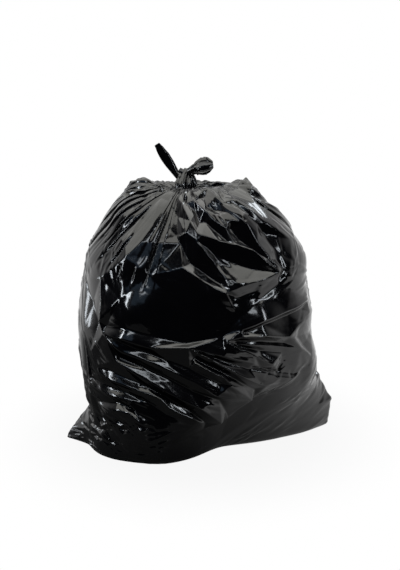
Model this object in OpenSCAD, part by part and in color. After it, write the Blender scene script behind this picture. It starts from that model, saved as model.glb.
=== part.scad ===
// A full refuse sack of thin black film, standing on the floor. Its mouth is drawn
// together in pleats, tied in a single half knot, and the two ends of the tie stand
// up from the knot as leaf-shaped tails. The film is one closed skin round a soft
// load, so the sack, the knot and the tails are one solid.
// Front is -Y, up is +Z, and the origin is on the floor under the middle.

/* [Filled body] */
// Widest part of the filled body, side to side
body_w = 560; // [500:2:620]
// Depth of the filled body, front to back
body_d = 440; // [380:2:500]
// Height of the two shoulders above the floor
shoulder_h = 616; // [560:2:700]
// How far the neck sits to the left of the middle
neck_left = 34; // [0:1:60]
// How far the two bottom corners of the film reach out past the body
corner_reach = 48; // [20:1:70]
// Height of the left bottom corner where it leaves the body
left_corner_h = 88; // [50:1:110]
// Height of the right bottom corner where it leaves the body
right_corner_h = 150; // [100:2:200]
// Roundness of the plan, from an ellipse to a box
plan_power = 2.3; // [2:0.1:3]
// How far the plan is skewed, so that the body turns its left front to the viewer
plan_skew = 0.6; // [0:0.1:0.8]

/* [Folds] */
// Pleats drawn together at the neck
pleat_count = 36; // [24:2:36]
// Depth of the deepest pleat
pleat_depth = 15; // [6:1:20]
// How far the pull of the tie turns the pleats towards the left front, in degrees
pleat_sweep = 42; // [0:1:48]
// How far the neck is twisted against the body, in degrees
neck_twist = 14; // [0:1:30]
// Height of the creases on the front and of the folds that run over the sides and the back
fold_depth = 10; // [4:1:14]
// Height of the rounded lumps that the load presses out
lump_height = 16; // [0:1:24]

/* [Neck and knot] */
// Radius of the gathered film where it enters the knot
neck_r = 14; // [10:1:18]
// Depth of the hollow that the neck stands in, below the shoulders
neck_drop = 14; // [8:1:30]
// Width of the knot
knot_w = 46; // [38:1:56]
// Height of the knot
knot_h = 46; // [38:1:60]
// Radius of the bunched film that the knot is tied with
strand_r = 10; // [8:0.5:13]

/* [Tails] */
// Length of the pointed left tail
left_tail_len = 86; // [60:1:130]
// Width of the pointed left tail
left_tail_w = 23; // [16:1:34]
// Lean of the left tail from upright, in degrees
left_tail_lean = 37; // [20:1:55]
// Length of the rounded right tail
right_tail_len = 63; // [45:1:100]
// Width of the rounded right tail
right_tail_w = 33; // [22:1:44]
// Lean of the right tail from upright, in degrees
right_tail_lean = 54; // [30:1:65]

/* [Hidden] */

film_color = "#141416";
column_count = 2 * pleat_count;
row_count = 64;
neck_z = shoulder_h - neck_drop;
// Reach round the body that one degree of bearing stands for, for the width of a fold
mm_per_degree = body_w / 2 * PI / 180;
// Length of the film from the floor to the neck
film_len = 1.42 * shoulder_h;
// Share of the way up the film at which the pull of the tie begins, and at which it is full
pull_start = 0.60;
pull_full = 0.87;
// Plan radius from which inwards the pleats get shallower
pleat_reach = 0.3 * body_w;
// Half the width of the folds of the sides and the back
fold_half_w = 26;
// The film is level this far from every crease of the front, and a crease is this round
crease_reach = 34;
crease_round = 4;
// A corner of the mesh this near to the line of a crease is moved onto it
snap_reach = 6;
// Least height of the film above the floor, outside the flat bottom
bottom_rise = 2.5;

// Sections of the filled body, from the floor up to the neck. Each is: share of the way
// up the film, height as a share of the shoulders, reach to the left and to the right as
// shares of half the width, reach to the front and to the back as shares of half the depth.
SECTIONS = [
    [0.00, 0.000, 0.87, 0.90, 0.90, 0.72],
    [0.03, 0.016, 0.97, 1.01, 0.99, 0.82],
    [0.08, 0.065, 0.98, 1.02, 1.03, 0.92],
    [0.14, 0.145, 0.94, 1.02, 1.04, 0.97],
    [0.22, 0.240, 0.99, 1.01, 1.02, 0.99],
    [0.32, 0.370, 1.01, 0.96, 0.99, 0.97],
    [0.42, 0.505, 1.02, 0.93, 0.95, 0.93],
    [0.52, 0.635, 0.99, 0.88, 0.88, 0.83],
    [0.61, 0.745, 0.93, 0.83, 0.78, 0.70],
    [0.70, 0.850, 0.80, 0.70, 0.64, 0.52],
    [0.78, 0.930, 0.68, 0.54, 0.49, 0.38],
    [0.84, 0.972, 0.57, 0.42, 0.36, 0.27],
    [0.88, 0.986, 0.46, 0.30, 0.26, 0.19],
    [0.93, 0.976, 0.32, 0.12, 0.16, 0.13],
    [0.97, 0.955, 0.21, -0.01, 0.10, 0.09],
    [1.00, 0.955, 0.17, -0.07, 0.06, 0.06]
];

// Creases of the front, as seen from the front: lines between corners, from which the film
// falls away in flat facets. Each corner is: thousandths of the body's width to the right of
// the middle, thousandths of the shoulders' height, and how far the film stands out there in
// tenths of fold_depth (hollows are negative).
FRONT_CREASES = [
    [[-95, 971, -3], [-91, 911, -9], [-91, 846, -7], [-79, 820, -4]],
    [[-71, 948, 3], [-39, 888, 7], [-12, 852, 6], [4, 843, 9]],
    [[-55, 948, -2], [-16, 925, -7], [0, 888, -7]],
    [[-86, 839, 6], [-55, 852, 7], [-16, 826, 6]],
    [[7, 979, 7], [-27, 953, 3]],
    [[16, 968, -5], [32, 940, -7], [66, 925, -6]],
    [[20, 982, 7], [55, 961, 7], [80, 943, 5], [104, 911, 3], [112, 883, 6]],
    [[100, 972, 2], [155, 984, 8], [218, 933, 3]],
    [[127, 985, -5], [189, 981, -7], [218, 963, -3]],
    [[132, 945, 9], [171, 914, 9], [255, 867, 8]],
    [[139, 914, 5], [157, 875, 4], [221, 810, 5], [270, 758, 4]],
    [[121, 867, -6], [166, 821, -7], [230, 776, -3]],
    [[48, 891, 5], [98, 860, 5], [125, 817, 6]],
    [[16, 922, 6], [64, 906, 5], [112, 883, 6]],
    [[23, 888, -4], [71, 854, -6], [114, 820, -3]],
    [[262, 843, -8], [304, 791, -9], [320, 742, -8]],
    [[361, 799, 4], [359, 706, 2]],
    [[337, 711, -5], [359, 696, 3], [400, 685, 3]],
    [[4, 843, 9], [62, 825, 10], [138, 807, 10], [202, 782, 10], [307, 700, 9]],
    [[-16, 826, 6], [68, 784, -5], [138, 753, -9], [229, 721, -6], [307, 700, 9]],
    [[-16, 826, 6], [55, 760, 6], [100, 700, 7], [114, 656, 10]],
    [[114, 656, 10], [161, 670, 10], [230, 682, 10], [307, 700, 9]],
    [[-79, 820, -4], [-36, 752, -7], [39, 713, -8], [89, 680, -4]],
    [[-66, 739, 6], [23, 688, 8], [98, 646, 8]],
    [[104, 646, 3], [161, 631, -3], [221, 648, -4]],
    [[157, 558, -6], [243, 614, -8], [316, 659, -5]],
    [[102, 479, 9], [157, 515, 3], [232, 537, 6], [334, 554, 8], [429, 570, 8]],
    [[171, 503, -3], [246, 524, -5], [364, 541, -6], [418, 545, -2]],
    [[102, 479, 9], [159, 489, 10], [243, 484, 10], [348, 459, 11]],
    [[348, 459, 11], [396, 498, 9], [443, 519, 7]],
    [[348, 459, 11], [402, 403, 9], [459, 344, 8]],
    [[141, 476, -3], [241, 464, -5], [341, 440, -3]],
    [[157, 448, -4], [248, 424, -6], [341, 399, -5]],
    [[102, 479, 9], [159, 445, 8], [207, 414, 9], [284, 367, 8]],
    [[250, 357, -4], [327, 328, -6], [387, 305, -4]],
    [[250, 346, 3], [329, 307, 4], [384, 291, 3]],
    [[459, 344, 8], [427, 308, -4], [379, 261, -7], [327, 242, -8], [236, 221, -7], [123, 151, -8],
     [20, 128, -7], [-112, 97, -5]],
    [[-375, 519, -5], [-282, 524, -7], [-193, 503, -7], [-55, 474, -4], [95, 494, -5]],
    [[-366, 497, 4], [-284, 487, 7], [-195, 463, 7], [-46, 463, 9]],
    [[-339, 487, 0], [-234, 448, -5], [-139, 416, -5], [-39, 381, -4], [87, 318, -4]],
    [[-46, 463, 9], [86, 424, 9], [207, 383, 7]],
    [[-46, 463, 9], [20, 429, 8], [87, 386, 9], [262, 281, 8]],
    [[-23, 422, -3], [87, 364, -4], [234, 269, -3]],
    [[-23, 404, 6], [87, 346, 7], [120, 315, 8], [214, 226, 7]],
    [[-357, 479, 6], [-304, 445, 8], [-196, 411, 7], [-86, 364, 5], [-20, 333, 6], [62, 274, 7],
     [214, 218, 4]],
    [[-323, 417, -3], [-198, 373, -6], [-111, 338, -6], [-41, 304, -5], [79, 255, -4]],
    [[-320, 403, 9], [-198, 338, 8], [-71, 271, 9], [0, 232, 8], [82, 149, 7]],
    [[-359, 360, -3], [-237, 325, -5], [-127, 273, -6], [-59, 232, -6], [25, 159, -5]],
    [[-400, 347, 5], [-279, 313, 6], [-159, 276, 7], [-114, 234, 7], [-9, 182, 4]],
    [[-437, 315, -2], [-300, 289, -4], [-198, 252, -5], [-136, 213, -5]],
    [[-443, 294, 5], [-298, 265, 7], [-255, 226, 4]],
    [[-427, 226, -5], [-327, 245, -5], [-262, 219, -5]],
    [[-389, 183, 6], [-334, 221, 7], [-279, 218, 7], [-227, 179, 6], [-220, 119, 3]],
    [[-439, 201, 2], [-407, 170, -6], [-377, 125, -8], [-339, 86, -7], [-280, 50, -3]],
    [[-198, 211, -3], [-189, 157, -4], [-175, 97, -3]],
    [[-386, 685, 4], [-384, 612, 6], [-389, 537, 7], [-375, 498, 4], [-320, 403, 9]],
    [[-468, 640, -2], [-434, 589, -6], [-405, 544, -4]],
    [[-462, 482, 4], [-436, 419, 4], [-414, 365, 3]]
];

// Folds round the sides and the back. Each is: bearing and height where it starts, bearing
// and height where it ends, and its height as a share of fold_depth. Bearings are degrees
// round from the front, positive to the right, and heights are shares of the way up the film.
ROUND_FOLDS = [
    // left side
    [-104, 0.62, -84, 0.42, -1.0],
    [-108, 0.40, -76, 0.24, 1.0],
    [-122, 0.30, -92, 0.16, -1.0],
    [-92, 0.54, -128, 0.34, 1.0],
    // right side
    [90, 0.60, 104, 0.30, 1.1],
    [84, 0.20, 122, 0.30, -0.9],
    [118, 0.62, 96, 0.44, -1.0],
    [112, 0.14, 140, 0.30, 1.0],
    // back
    [124, 0.50, 172, 0.36, 1.3],
    [132, 0.40, 168, 0.18, -1.0],
    [146, 0.68, 188, 0.48, 1.0],
    [176, 0.36, 226, 0.26, -1.1],
    [192, 0.16, 238, 0.38, 1.1],
    [200, 0.62, 242, 0.48, -1.0],
    [156, 0.10, 206, 0.12, 0.9],
    [184, 0.58, 196, 0.38, 1.0]
];

// Rounded lumps and hollows. Each is: bearing, share of the way up the film, radius as a
// share of half the width, and height as a share of lump_height (hollows are negative).
LUMPS = [
    [-28, 0.46, 0.39, 1.0],
    [-8, 0.10, 0.43, 0.5],
    [46, 0.44, 0.29, 0.6],
    [50, 0.22, 0.32, -0.5],
    [22, 0.60, 0.25, -0.8],
    [50, 0.74, 0.25, 0.7],
    [-60, 0.76, 0.29, 0.6],
    [-92, 0.14, 0.18, -0.9],
    [88, 0.58, 0.25, 0.5],
    [82, 0.85, 0.21, 0.9],
    [-104, 0.86, 0.21, 0.9],
    [-74, 0.84, 0.14, -0.6],
    [122, 0.34, 0.36, 0.7],
    [158, 0.66, 0.32, -0.5],
    [186, 0.50, 0.39, 0.9],
    [214, 0.24, 0.32, -0.5],
    [238, 0.56, 0.32, 0.7]
];

// Evenly spread number from 0 to 1 for a whole number k
function spread(k) = let (v = k * 0.61803) v - floor(v);
function clamp01(v) = min(1, max(0, v));
function ease(v) = let (u = clamp01(v)) u * u * (3 - 2 * u);
// Round bump of height 1 that ends at v = 1
function dome(v) = v >= 1 ? 0 : pow(1 - v * v, 2);
// Sharp ridge of height 1 with hollow flanks that ends at v = 1
function crest(v) = v >= 1 ? 0 : pow(1 - v, 1.5);
// Turns a difference of bearings into -180 to 180
function turn_to(a) = a - 360 * round(a / 360);

// Smooth curve through the rows of a table, at share t
function table_row(t, rows, k = 0) =
    k >= len(rows) - 2 || t < rows[k + 1][0] ? k : table_row(t, rows, k + 1);
function table_slope(rows, k) =
    let (low = max(k - 1, 0), high = min(k + 1, len(rows) - 1))
    (rows[high] - rows[low]) / (rows[high][0] - rows[low][0]);
function section_at(t) =
    let (
        k = table_row(t, SECTIONS),
        a = SECTIONS[k],
        b = SECTIONS[k + 1],
        step = b[0] - a[0],
        u = (t - a[0]) / step,
        sa = table_slope(SECTIONS, k) * step,
        sb = table_slope(SECTIONS, k + 1) * step
    )
    a * (2 * u * u * u - 3 * u * u + 1) + sa * (u * u * u - 2 * u * u + u)
    + b * (3 * u * u - 2 * u * u * u) + sb * (u * u * u - u * u);

// Axis that a section is drawn round: under the middle of the load at the floor,
// and in line with the neck at the top
function axis_x(t) = -neck_left * (2.2 - 1.2 * ease(t * 1.3));

// Bearing of the valley of a pleat before the tie pulls it. The pleats lie closer together on
// the front, and stray a little so that no two are alike.
function valley_bearing(k) =
    let (a = 360 * (k + 0.4 * (spread(3 * k + 1) - 0.5)) / pleat_count - 180)
    a - 12 * sin(a);

// How far the tie has turned the pleats at a share of the way up, in degrees: they spread
// again where they enter the neck
function turned_at(t) =
    pleat_sweep * clamp01((t - pull_start) / (pull_full - pull_start))
    * (1 - 0.75 * ease((t - 0.90) / 0.10));

// Bearing of a column of the mesh at a share of the way up. A pleat has two columns: its
// valley, and the middle of the strip of film between it and the next one.
function column_bearing(i, t) =
    let (
        pleat = floor(i / 2),
        valley = valley_bearing(pleat),
        place = i % 2 == 0 ? valley : (valley + valley_bearing(pleat + 1)) / 2
    )
    place - turned_at(t) * sin(place + 10);

// Plan radius of the smooth body in a direction
function plan_radius(angle, t) =
    let (
        s = section_at(t),
        x0 = axis_x(t),
        side = cos(angle) > 0 ? s[3] * body_w / 2 - x0 : s[2] * body_w / 2 + x0,
        face = sin(angle) > 0 ? s[5] * body_d / 2 : s[4] * body_d / 2,
        power = plan_power + plan_skew * sin(2 * angle) * (1 - ease(t * 1.2)),
        radius = pow(pow(abs(cos(angle)) / side, power)
            + pow(abs(sin(angle)) / face, power), -1 / power),
        bearing = turn_to(angle + 90),
        hollow = 0.3 * dome(abs(bearing - 50) / 55) * (1 - ease(t / 0.3))
    )
    radius * (1 - hollow) + corner_fin(bearing, t);

// The film's bottom corners stand out of the body as flat fins: the left one is pinched
// in above the floor, and the right one is pulled out tall
function corner_fin(bearing, t) =
    let (
        height = section_at(t)[1] * shoulder_h,
        left = crest(abs(bearing + 74) / 18) * clamp01(1 - height / left_corner_h),
        right = crest(abs(bearing - 92) / 16) * clamp01(2 * (1 - height / right_corner_h))
    )
    corner_reach * (left * 1.15 + right) * ease(0.78 + 2.2 * height / left_corner_h);

// Share of the way up the film at which it reaches a height, found by halving
function share_at(height, low = 0, high = 0.88, tries = 16) =
    let (mid = (low + high) / 2)
    tries == 0 ? mid
    : section_at(mid)[1] < height ? share_at(height, mid, high, tries - 1)
    : share_at(height, low, mid, tries - 1);

// Bearing at which the front of the film is at a place across, found by halving
function bearing_at(x, t, low = -88, high = 88, tries = 14) =
    let (
        mid = (low + high) / 2,
        here = axis_x(t) + plan_radius(mid - 90, t) * sin(mid)
    )
    tries == 0 ? mid
    : here < x ? bearing_at(x, t, mid, high, tries - 1)
    : bearing_at(x, t, low, mid, tries - 1);

// Creases of the front, each cut into straight runs: bearing, share of the way up and height
// at the start and at the end, and the number of the crease
FRONT_RUNS = [
    for (n = [0:len(FRONT_CREASES) - 1])
        let (corners = [for (corner = FRONT_CREASES[n]) on_film(corner)])
        for (k = [1:len(corners) - 1]) concat(corners[k - 1], corners[k], [n])
];

// A corner seen from the front, as its bearing, its share of the way up and its height
function on_film(corner) =
    let (t = share_at(corner[1] / 1000))
    [bearing_at(corner[0] / 1000 * body_w, t), t, corner[2] / 10 * fold_depth];

// The runs that reach a row of the mesh
function runs_near(t) =
    let (reach = 2.4 * crease_reach / film_len)
    [
        for (run = FRONT_RUNS)
            if (t > min(run[1], run[4]) - reach && t < max(run[1], run[4]) + reach) run
    ];

// Where a place on the film lies beside a straight line from start to end: its distance
// from the line, and how far along the line the nearest place is
function beside(bearing, t, start, end) =
    let (
        line = [(end[0] - start[0]) * mm_per_degree, (end[1] - start[1]) * film_len],
        here = [turn_to(bearing - start[0]) * mm_per_degree, (t - start[1]) * film_len],
        along = clamp01(here * line / (line * line))
    )
    [norm(here - along * line), along];

// How far the front's creases lift the film: the nearest ones count for most
function crease_weight(distance) = 1 / pow(distance * distance + crease_round * crease_round, 2);
function crease_lift(bearing, t, runs) =
    let (
        places = [for (run = runs) beside(bearing, t, [run[0], run[1]], [run[3], run[4]])],
        weights = [for (place = places) crease_weight(place[0])],
        heights = [for (k = [0:1:len(runs) - 1]) runs[k][2] + places[k][1] * (runs[k][5] - runs[k][2])]
    )
    len(runs) == 0 ? 0 : weights * heights / (total(weights) + crease_weight(crease_reach));

// How far a fold of the sides or the back lifts the film: a long, low roof
function fold_lift(bearing, t, fold) =
    let (
        place = beside(bearing, t, [fold[0], fold[1]], [fold[2], fold[3]]),
        roof = 2 * min(place[1], 1 - place[1])
    )
    fold[4] * fold_depth * clamp01(roof - place[0] / fold_half_w);

function lump_lift(bearing, t, lump) =
    let (
        across = turn_to(bearing - lump[0]) * mm_per_degree,
        up = (t - lump[1]) * film_len
    )
    lump[3] * lump_height * dome(norm([across, up]) / (lump[2] * body_w / 2));

// A pleat is a narrow valley between two flat strips of film. Each runs from the neck down to
// its own height and dies away there. The film is drawn in most on the left of the front,
// where the pleats are long and deep, and the right of the front stays smooth.
function pleat_lift(i, t) =
    let (
        pleat = floor(i / 2),
        valley = valley_bearing(pleat),
        drawn = dome(abs(turn_to(valley + 62)) / 80),
        smooth = abs(valley - 42) < 48,
        low = smooth ? 0.80 + 0.08 * spread(3 * pleat + 2)
            : (0.60 + 0.24 * spread(3 * pleat + 2)) * (1 - drawn)
            + (0.46 + 0.18 * spread(3 * pleat + 2)) * drawn,
        deep = 0.35 + 0.30 * spread(5 * pleat + 2) + 0.35 * drawn,
        height = i % 2 == 0 ? -deep : 0.25 * spread(9 * pleat + 1),
        grow = ease((t - low) / 0.12),
        closeness = min(1, 1 - turned_at(t) * PI / 180 * cos(valley + 10)),
        reach = min(1, plan_radius(valley - 90, t) / pleat_reach)
    )
    pleat_depth * height * grow * closeness * reach;

function total(list, k = 0) = k >= len(list) ? 0 : list[k] + total(list, k + 1);

function film_lift(i, bearing, t, runs) =
    let (
        lumps = total([for (lump = LUMPS) lump_lift(bearing, t, lump)]),
        folds = total([for (fold = ROUND_FOLDS) fold_lift(bearing, t, fold)]),
        creases = crease_lift(bearing, t, runs),
        settle = ease(t / 0.05),
        neck = 1 - ease((t - 0.88) / 0.08)
    )
    (lumps + folds + creases) * settle * neck + pleat_lift(i, t);

// Point of the film on column i, at a bearing and a share of the way up
function film_point(i, bearing, t, runs) =
    let (
        angle = bearing - 90 + neck_twist * ease((t - 0.8) / 0.2),
        step = 0.004,
        low = max(t - step, 0),
        high = min(t + step, 1),
        rise = (section_at(high)[1] - section_at(low)[1]) * shoulder_h,
        out = plan_radius(angle, high) - plan_radius(angle, low),
        slope = max(norm([rise, out]), 0.001),
        lift = film_lift(i, bearing, t, runs),
        radius = max(plan_radius(angle, t) + lift * rise / slope, 0.55 * neck_r),
        height = section_at(t)[1] * shoulder_h - lift * out / slope
    )
    [
        axis_x(t) + radius * cos(angle),
        radius * sin(angle),
        t == 0 ? 0 : max(height, bottom_rise)
    ];

// Corner of the mesh on column i of a row, moved onto the line of a crease that runs close
// by, with the number of that crease beside it
function mesh_corner(i, t, runs) =
    let (
        bearing = column_bearing(i, t),
        places = t > 0.04 && t < 0.62
            ? [for (run = runs) beside(bearing, t, [run[0], run[1]], [run[3], run[4]])] : [],
        near = [
            for (k = [0:1:len(places) - 1])
                if (places[k][0] < snap_reach && places[k][1] > 0 && places[k][1] < 1) k
        ],
        nearest = min(concat([for (k = near) places[k][0]], [snap_reach])),
        found = [for (k = near) if (places[k][0] == nearest) k],
        run = len(found) == 0 ? [] : runs[found[0]],
        along = len(found) == 0 ? 0 : places[found[0]][1]
    )
    len(found) == 0
        ? [film_point(i, bearing, t, runs), -1]
        : [
            film_point(
                i, run[0] + along * (run[3] - run[0]), run[1] + along * (run[4] - run[1]), runs),
            run[6]
        ];

// The filled sack from the floor to the gathered neck, closed inside the knot
module filled_body() {
    top_z = neck_z + knot_h * 0.45;
    rows = [
        for (j = [0:row_count])
            let (t = pow(j / row_count, 0.94), runs = runs_near(t))
            [for (i = [0:column_count - 1]) mesh_corner(i, t, runs)]
    ];
    neck_top = [
        for (i = [0:column_count - 1])
            let (angle = column_bearing(i, 1) - 90 + neck_twist)
            [[axis_x(1), 0, top_z] + neck_r * 0.8 * [cos(angle), sin(angle), 0], -1]
    ];
    rings = concat(rows, [neck_top]);
    skin(
        [for (ring = rings) [for (corner = ring) corner[0]]],
        [for (ring = rings) [for (corner = ring) corner[1]]],
        [axis_x(0), 0, 0],
        [axis_x(1), 0, top_z]
    );
}

// Closed skin over a stack of rings with equal counts, with a point in each end face.
// marks has the same rings and counts: each cell is split between two corners with the
// same mark, which keeps a crease crisp, and if it has none, along its shorter diagonal.
module skin(rings, marks, low_point, high_point) {
    n = len(rings[0]);
    last = len(rings) - 1;
    points = concat([for (ring = rings) each ring], [low_point, high_point]);
    mark = [for (ring = marks) each ring];
    low_k = len(points) - 2;
    sides = [
        for (j = [0:last - 1], i = [0:n - 1])
            let (
                a = j * n + i,
                b = j * n + (i + 1) % n,
                c = b + n,
                d = a + n,
                fold_up = mark[a] == mark[c] && mark[a] != -1,
                fold_down = mark[b] == mark[d] && mark[b] != -1,
                shorter = norm(points[a] - points[c]) < norm(points[b] - points[d])
            )
            each (fold_up || shorter && !fold_down)
                ? [[a, c, b], [a, d, c]]
                : [[a, d, b], [b, d, c]]
    ];
    ends = [
        for (i = [0:n - 1])
            each [[low_k, i, (i + 1) % n], [low_k + 1, last * n + (i + 1) % n, last * n + i]]
    ];
    polyhedron(points = points, faces = concat(sides, ends), convexity = 10);
}

// Bunched film that follows a short path, thickest in the middle
module strand(path, radius) {
    last = len(path) - 1;
    for (k = [0:last - 1])
        hull() {
            translate(path[k])
                scale([1, 0.8, 1])
                    sphere(radius * (0.8 + 0.2 * sin(180 * k / last)), $fn = 10);
            translate(path[k + 1])
                scale([1, 0.8, 1])
                    sphere(radius * (0.8 + 0.2 * sin(180 * (k + 1) / last)), $fn = 10);
        }
}

// The half knot: each half of the mouth crosses the other, one in front and one behind,
// and the collar of film that they pull tight sits round the neck under them
module half_knot() {
    half_w = knot_w / 2 - strand_r;
    foot = -knot_h * 0.36;
    head = knot_h * 0.42;
    translate([axis_x(1), 0, neck_z + knot_h * 0.5]) {
        strand([
            [-half_w * 0.8, 0, foot],
            [-half_w, -strand_r * 0.7, -knot_h * 0.1],
            [0, -strand_r, knot_h * 0.08],
            [half_w * 0.9, -strand_r * 0.3, knot_h * 0.26],
            [half_w, 0, head]
        ], strand_r);
        strand([
            [half_w * 0.8, 0, foot],
            [half_w, strand_r * 0.5, -knot_h * 0.1],
            [0, strand_r * 0.8, knot_h * 0.08],
            [-half_w * 0.9, strand_r * 0.3, knot_h * 0.26],
            [-half_w, 0, head]
        ], strand_r);
        strand([
            for (a = [0:60:360])
                [half_w * 1.1 * cos(a), strand_r * 0.7 * sin(a), foot + 3 * sin(a + 30)]
        ], strand_r * 0.72);
    }
}

// A tail of the tie: flattened film that widens out of the knot like a leaf, with a fold
// down its middle and pleats beside it. blunt is 0 for a pointed end and 1 for a round one.
module tail(length, width, blunt, curl) {
    sides = 20;
    rows = 10;
    rings = [
        for (j = [0:rows])
            let (
                s = j / rows,
                stem = 0.34 * (1 - ease(s / 0.45)),
                leaf = pow(sin(180 * min(1, 0.06 + 0.94 * pow(s, 1.1 + 0.5 * blunt))), 0.75 - 0.25 * blunt),
                half_w = width / 2 * max(stem + leaf * (1 - stem), 0.07),
                thick = width * (0.2 - 0.1 * s) * (0.4 + 0.6 * leaf) + 1
            )
            [
                for (i = [0:sides - 1])
                    let (
                        a = 360 * i / sides,
                        pleat = 1 + 0.22 * sin(a * 5 + 60 * s) * (1 - s * 0.5),
                        fold = 0.35 * thick * abs(cos(a)) * sign(sin(a) + 0.001)
                    )
                    [
                        half_w * cos(a) * pleat,
                        thick * sin(a) * pleat - fold + curl * s * s,
                        length * s
                    ]
            ]
    ];
    skin(rings, [for (ring = rings) [for (point = ring) -1]], [0, 0, -1], [0, curl, length + 1]);
}

module tails() {
    half_w = knot_w / 2 - strand_r;
    root_z = neck_z + knot_h * 0.76;
    translate([axis_x(1) - half_w, 0, root_z])
        rotate([0, -left_tail_lean, 0])
            tail(left_tail_len, left_tail_w, 0, -6);
    translate([axis_x(1) + half_w, 0, root_z])
        rotate([0, right_tail_lean, 0])
            tail(right_tail_len, right_tail_w, 1, -10);
}

module tied_sack() {
    color(film_color)
        union() {
            filled_body();
            half_knot();
            tails();
        }
}

tied_sack();
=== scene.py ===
# A full refuse sack of glossy black film, standing on a white floor, tied with a half knot.
# Everything is in metres: front is -Y, up is +Z, the origin is on the floor.
import math

import bpy
import numpy as np
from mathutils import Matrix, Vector
from mathutils.geometry import delaunay_2d_cdt


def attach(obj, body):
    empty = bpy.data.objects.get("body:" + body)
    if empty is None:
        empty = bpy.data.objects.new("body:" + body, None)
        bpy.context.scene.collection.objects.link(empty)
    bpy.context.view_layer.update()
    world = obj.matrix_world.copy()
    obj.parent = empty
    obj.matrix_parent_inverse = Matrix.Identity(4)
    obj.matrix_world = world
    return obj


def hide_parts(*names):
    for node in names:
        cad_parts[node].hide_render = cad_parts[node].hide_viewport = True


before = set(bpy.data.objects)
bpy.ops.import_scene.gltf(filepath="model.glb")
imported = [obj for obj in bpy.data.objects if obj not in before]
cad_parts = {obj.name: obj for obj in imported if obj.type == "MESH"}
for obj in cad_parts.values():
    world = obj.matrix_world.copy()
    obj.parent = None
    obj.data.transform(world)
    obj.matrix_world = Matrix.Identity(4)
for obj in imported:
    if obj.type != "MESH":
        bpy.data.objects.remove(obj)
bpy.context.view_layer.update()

# The filled sack
# The sack is one tube of thin black polythene film, welded across the bottom and filled
# with soft rubbish. The load presses it out into lumps, and the pull of the tie and the
# weight of the load draw long creases over its front.

body_width = 0.560
body_depth = 0.440
shoulder_height = 0.616
neck_left = 0.034
neck_radius = 0.014
corner_reach = 0.048
left_corner_height = 0.088
right_corner_height = 0.150
film_length = 1.42 * shoulder_height
metres_per_degree = body_width / 2 * math.pi / 180

# Share of the way up the film, height as a share of the shoulders, reach to the left and
# the right as shares of half the width, and to the front and the back of half the depth
body_sections = np.array([
    [0.00, 0.000, 0.87, 0.90, 0.90, 0.72],
    [0.03, 0.016, 0.97, 1.01, 0.99, 0.82],
    [0.08, 0.065, 0.98, 1.02, 1.03, 0.92],
    [0.14, 0.145, 0.94, 1.02, 1.04, 0.97],
    [0.22, 0.240, 0.99, 1.01, 1.02, 0.99],
    [0.32, 0.370, 1.01, 0.96, 0.99, 0.97],
    [0.42, 0.505, 1.02, 0.93, 0.95, 0.93],
    [0.52, 0.635, 0.99, 0.88, 0.88, 0.83],
    [0.61, 0.745, 0.93, 0.83, 0.78, 0.70],
    [0.70, 0.850, 0.80, 0.70, 0.64, 0.52],
    [0.78, 0.930, 0.68, 0.54, 0.49, 0.38],
    [0.84, 0.972, 0.57, 0.42, 0.36, 0.27],
    [0.88, 0.986, 0.46, 0.30, 0.26, 0.19],
    [0.93, 0.976, 0.32, 0.12, 0.16, 0.13],
    [0.97, 0.955, 0.21, -0.01, 0.10, 0.09],
    [1.00, 0.955, 0.17, -0.07, 0.06, 0.06],
])


def ease(v):
    """Rises smoothly from 0 to 1 as v does."""
    u = np.clip(v, 0, 1)
    return u * u * (3 - 2 * u)


def dome(v):
    """Falls from a rounded top of 1 at 0 to nothing at 1."""
    return np.where(v >= 1, 0, (1 - np.minimum(v, 1) ** 2) ** 2)


def crest(v):
    """Falls from a sharp top of 1 at 0 to nothing at 1."""
    return np.where(v >= 1, 0, (1 - np.minimum(v, 1)) ** 1.5)


def turn_to(degrees):
    """The same angle between -180 and 180 degrees."""
    return degrees - 360 * np.round(degrees / 360)


def section_at(t):
    """The row of body_sections at a share of the way up, on a smooth curve."""
    rows = body_sections
    slopes = np.zeros_like(rows)
    for k in range(len(rows)):
        low, high = max(k - 1, 0), min(k + 1, len(rows) - 1)
        slopes[k] = (rows[high] - rows[low]) / (rows[high][0] - rows[low][0])
    k = np.clip(np.searchsorted(rows[:, 0], t, side="right") - 1, 0, len(rows) - 2)
    start, end = rows[k], rows[k + 1]
    step = (end[..., 0] - start[..., 0])[..., None]
    u = ((t - start[..., 0])[..., None]) / step
    return (
        start * (2 * u**3 - 3 * u * u + 1)
        + slopes[k] * step * (u**3 - 2 * u * u + u)
        + end * (3 * u * u - 2 * u**3)
        + slopes[k + 1] * step * (u**3 - u * u)
    )


def axis_x(t):
    """Where the sack's axis stands: left of the middle, and most of all at the base."""
    return -neck_left * (2.2 - 1.2 * ease(t * 1.3))


def plan_radius(bearing, t):
    """How far the smooth body reaches from its axis, by bearing from the front."""
    s = section_at(t)
    across, along = np.sin(np.radians(bearing)), -np.cos(np.radians(bearing))
    side = np.where(
        across > 0,
        s[..., 3] * body_width / 2 - axis_x(t),
        s[..., 2] * body_width / 2 + axis_x(t),
    )
    face = np.where(along > 0, s[..., 5], s[..., 4]) * body_depth / 2
    power = 2.3 - 0.6 * np.sin(np.radians(2 * bearing)) * (1 - ease(t * 1.2))
    radius = ((np.abs(across) / side) ** power + (np.abs(along) / face) ** power) ** (
        -1 / power
    )
    # The right front draws in low down, and the two bottom corners stand out
    hollow = 0.3 * dome(np.abs(turn_to(bearing - 50)) / 55) * (1 - ease(t / 0.3))
    height = s[..., 1] * shoulder_height
    left = crest(np.abs(turn_to(bearing + 74)) / 18) * np.clip(
        1 - height / left_corner_height, 0, 1
    )
    right = crest(np.abs(turn_to(bearing - 92)) / 16) * np.clip(
        2 * (1 - height / right_corner_height), 0, 1
    )
    fin = corner_reach * (left * 1.15 + right) * ease(0.78 + height / 0.040)
    return radius * (1 - hollow) + fin


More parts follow.
